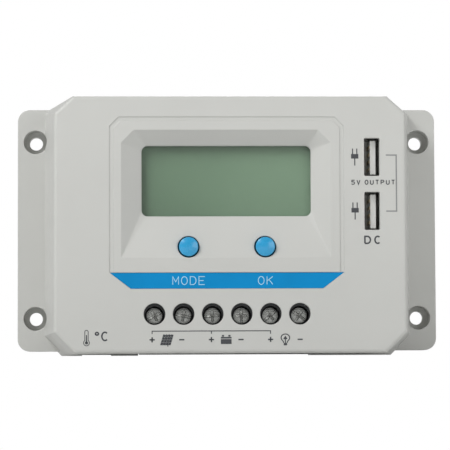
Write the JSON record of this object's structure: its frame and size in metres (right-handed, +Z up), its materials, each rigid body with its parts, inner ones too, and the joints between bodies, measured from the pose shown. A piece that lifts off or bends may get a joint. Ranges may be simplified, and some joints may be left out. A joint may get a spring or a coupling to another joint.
{
  "type": "solar charge controller",
  "caption": "Wall-mounted solar charge controller with a sloped display recess, two push buttons, USB outlets and rising-cage screw terminals.",
  "frame": {"origin": "centre of the four wall-fixing holes, on the back plane that lies on the wall", "axes": "+X to the right seen from the front, +Y into the wall (the front panel faces -Y), +Z up"},
  "size_m": [0.142, 0.0415, 0.085],
  "materials": {
    "housing_plastic": "fine-textured light grey ABS",
    "back_metal": "brushed",
    "label_blue": "printed film, satin",
    "window_clear": "clear acrylic",
    "lcd_green": "reflective grey-green liquid-crystal glass",
    "backlight_white": "milky light guide",
    "carrier_white": "white moulded plastic",
    "board_green": "solder-mask green",
    "button_blue": "satin light blue",
    "black_plastic": "moulded black",
    "plated_steel": "nickel plated",
    "cage_steel": "zinc plated",
    "contact_brass": "tinned and bare brass",
    "pad_grey": "thermal silicone sheet",
    "capacitor_sleeve": "shrink sleeve",
    "ferrite": "sintered ferrite",
    "copper_wire": "enamelled copper",
    "terminal_plastic": "moulded dark grey",
    "socket_green": "moulded green"
  },
  "bodies": {
    "housing": {"front_cover": "housing_plastic", "back_plate": "back_metal", "label_strip": "label_blue", "display_window": "window_clear", "lcd_glass": "lcd_green", "lcd_backlight": "backlight_white", "lcd_carrier": "carrier_white", "control_board": "board_green", "control_screws": "plated_steel", "switch_bodies": "black_plastic", "usb_shell_upper": "plated_steel", "usb_shell_lower": "plated_steel", "usb_tongues": "carrier_white", "usb_contacts": "contact_brass", "board_header": "black_plastic", "header_pins": "contact_brass", "main_board": "board_green", "board_spacers": "contact_brass", "board_screws": "plated_steel", "cover_screws": "plated_steel", "mosfet_packages": "black_plastic", "mosfet_tabs": "plated_steel", "mosfet_screws": "plated_steel", "insulating_pads": "pad_grey", "capacitors": "capacitor_sleeve", "inductor_core": "ferrite", "inductor_winding": "copper_wire", "controller_chip": "black_plastic", "driver_chips": "black_plastic", "current_shunt": "contact_brass", "terminal_block": "terminal_plastic", "terminal_bars": "contact_brass", "sensor_socket": "socket_green", "sensor_pins": "plated_steel"},
    "mode_key": {"mode_button": "button_blue", "mode_plunger": "black_plastic"},
    "ok_key": {"ok_button": "button_blue", "ok_plunger": "black_plastic"},
    "screw_1": {"terminal_screw_1": "plated_steel"},
    "screw_2": {"terminal_screw_2": "plated_steel"},
    "screw_3": {"terminal_screw_3": "plated_steel"},
    "screw_4": {"terminal_screw_4": "plated_steel"},
    "screw_5": {"terminal_screw_5": "plated_steel"},
    "screw_6": {"terminal_screw_6": "plated_steel"},
    "cage_1": {"terminal_cage_1": "cage_steel"},
    "cage_2": {"terminal_cage_2": "cage_steel"},
    "cage_3": {"terminal_cage_3": "cage_steel"},
    "cage_4": {"terminal_cage_4": "cage_steel"},
    "cage_5": {"terminal_cage_5": "cage_steel"},
    "cage_6": {"terminal_cage_6": "cage_steel"}
  },
  "joints": [
    {"name": "mode_press", "type": "slide", "parent": "housing", "child": "mode_key", "axis": [0, 1, 0], "range_m": [0, 0.0006], "stiffness_N_per_m": 120, "springref_m": -0.0006},
    {"name": "ok_press", "type": "slide", "parent": "housing", "child": "ok_key", "axis": [0, 1, 0], "range_m": [0, 0.0006], "stiffness_N_per_m": 120, "springref_m": -0.0006},
    {"name": "cage_1_rise", "type": "slide", "parent": "housing", "child": "cage_1", "axis": [0, -1, 0], "range_m": [0, 0.0035]},
    {"name": "cage_2_rise", "type": "slide", "parent": "housing", "child": "cage_2", "axis": [0, -1, 0], "range_m": [0, 0.0035]},
    {"name": "cage_3_rise", "type": "slide", "parent": "housing", "child": "cage_3", "axis": [0, -1, 0], "range_m": [0, 0.0035]},
    {"name": "cage_4_rise", "type": "slide", "parent": "housing", "child": "cage_4", "axis": [0, -1, 0], "range_m": [0, 0.0035]},
    {"name": "cage_5_rise", "type": "slide", "parent": "housing", "child": "cage_5", "axis": [0, -1, 0], "range_m": [0, 0.0035]},
    {"name": "cage_6_rise", "type": "slide", "parent": "housing", "child": "cage_6", "axis": [0, -1, 0], "range_m": [0, 0.0035]},
    {"name": "screw_1_turn", "type": "hinge", "parent": "housing", "child": "screw_1", "pos_m": [-0.02495, -0.03, -0.02985], "axis": [0, 1, 0], "range_deg": [0, 1810]},
    {"name": "screw_2_turn", "type": "hinge", "parent": "housing", "child": "screw_2", "pos_m": [-0.01545, -0.03, -0.02985], "axis": [0, 1, 0], "range_deg": [0, 1810]},
    {"name": "screw_3_turn", "type": "hinge", "parent": "housing", "child": "screw_3", "pos_m": [-0.00595, -0.03, -0.02985], "axis": [0, 1, 0], "range_deg": [0, 1810]},
    {"name": "screw_4_turn", "type": "hinge", "parent": "housing", "child": "screw_4", "pos_m": [0.00355, -0.03, -0.02985], "axis": [0, 1, 0], "range_deg": [0, 1810]},
    {"name": "screw_5_turn", "type": "hinge", "parent": "housing", "child": "screw_5", "pos_m": [0.01305, -0.03, -0.02985], "axis": [0, 1, 0], "range_deg": [0, 1810]},
    {"name": "screw_6_turn", "type": "hinge", "parent": "housing", "child": "screw_6", "pos_m": [0.02255, -0.03, -0.02985], "axis": [0, 1, 0], "range_deg": [0, 1810]}
  ],
  "couplings": [
    {"joint": "screw_1_turn", "follows": "cage_1_rise", "rad_per_m": 8976},
    {"joint": "screw_2_turn", "follows": "cage_2_rise", "rad_per_m": 8976},
    {"joint": "screw_3_turn", "follows": "cage_3_rise", "rad_per_m": 8976},
    {"joint": "screw_4_turn", "follows": "cage_4_rise", "rad_per_m": 8976},
    {"joint": "screw_5_turn", "follows": "cage_5_rise", "rad_per_m": 8976},
    {"joint": "screw_6_turn", "follows": "cage_6_rise", "rad_per_m": 8976}
  ]
}
